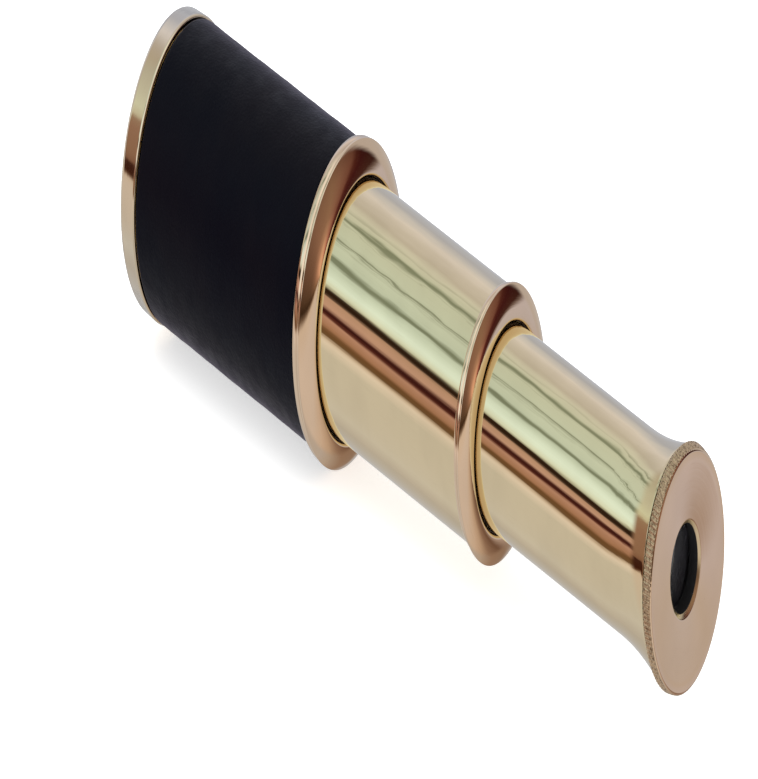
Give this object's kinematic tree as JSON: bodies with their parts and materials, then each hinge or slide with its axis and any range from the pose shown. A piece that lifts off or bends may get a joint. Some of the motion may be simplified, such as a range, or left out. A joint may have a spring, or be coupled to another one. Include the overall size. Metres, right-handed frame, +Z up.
{
  "type": "kaleidoscope",
  "caption": "Brass pull-out kaleidoscope shaped like a pocket telescope: leather-covered barrel, turning object cell, mirror prism and sliding draw tubes with a flared eyepiece.",
  "frame": {"origin": "on the surface the kaleidoscope lies on, under the middle of its extended length", "axes": "+X along the optical axis from the object cell to the eyepiece, +Z up, optical axis level"},
  "size_m": [0.152, 0.0344, 0.0343],
  "materials": {
    "polished_brass": "mirror polished, lacquered, with faint draw lines",
    "spring_brass": "plain, unpolished",
    "black_leather": "smooth, low sheen",
    "dark_felt": "dense felt",
    "black_plastic": "matt moulded",
    "black_card": "matt black card tube",
    "mirror_glass": "silvered",
    "clear_glass": "clear",
    "frosted_glass": "ground on one side",
    "bead_glass_red": "coloured glass",
    "bead_glass_blue": "coloured glass",
    "bead_glass_green": "coloured glass",
    "bead_glass_amber": "coloured glass",
    "bead_glass_violet": "coloured glass",
    "bead_glass_teal": "coloured glass"
  },
  "bodies": {
    "barrel": {"barrel_tube": "polished_brass", "leather_wrap": "black_leather", "barrel_collar": "polished_brass", "barrel_collar_felt": "dark_felt", "cell_snap_ring": "spring_brass", "mirror_mount": "black_plastic", "mirror_sleeve": "black_card", "mirror_1": "mirror_glass", "mirror_2": "mirror_glass", "mirror_3": "mirror_glass", "mirror_end_cap": "black_plastic"},
    "object_cell": {"objective_bezel": "polished_brass", "frosted_window": "frosted_glass", "cell_spacer": "polished_brass", "inner_window": "clear_glass", "cell_retaining_ring": "polished_brass"},
    "beads": {"bead_01": "bead_glass_red", "bead_02": "bead_glass_blue", "bead_03": "bead_glass_green", "bead_04": "bead_glass_amber", "bead_05": "bead_glass_violet", "bead_06": "bead_glass_teal", "bead_07": "bead_glass_red", "bead_08": "bead_glass_blue", "bead_09": "bead_glass_green", "bead_10": "bead_glass_amber", "bead_11": "bead_glass_violet", "bead_12": "bead_glass_teal"},
    "middle_guide": {"middle_guide_ring": "spring_brass"},
    "middle_draw": {"middle_tube": "polished_brass", "middle_collar": "polished_brass", "middle_collar_felt": "dark_felt"},
    "eye_guide": {"eye_guide_ring": "spring_brass"},
    "eye_draw": {"eye_tube": "polished_brass", "eye_cap": "polished_brass", "eye_window": "clear_glass", "eye_window_ring": "polished_brass"}
  },
  "joints": [
    {"name": "cell_turn", "type": "hinge", "parent": "barrel", "child": "object_cell", "pos_m": [-0.076, 0, 0.01716], "axis": [1, 0, 0], "continuous": true},
    {"name": "bead_tumble", "type": "hinge", "parent": "object_cell", "child": "beads", "pos_m": [-0.0707, 0, 0.01716], "axis": [1, 0, 0], "continuous": true},
    {"name": "middle_slide", "type": "slide", "parent": "barrel", "child": "middle_guide", "axis": [1, 0, 0], "range_m": [-0.0398, 0]},
    {"name": "middle_twist", "type": "hinge", "parent": "middle_guide", "child": "middle_draw", "pos_m": [-0.019, 0, 0.01716], "axis": [1, 0, 0], "continuous": true},
    {"name": "eye_slide", "type": "slide", "parent": "middle_draw", "child": "eye_guide", "axis": [1, 0, 0], "range_m": [-0.0405, 0]},
    {"name": "eye_twist", "type": "hinge", "parent": "eye_guide", "child": "eye_draw", "pos_m": [0.024, 0, 0.01716], "axis": [1, 0, 0], "continuous": true}
  ]
}
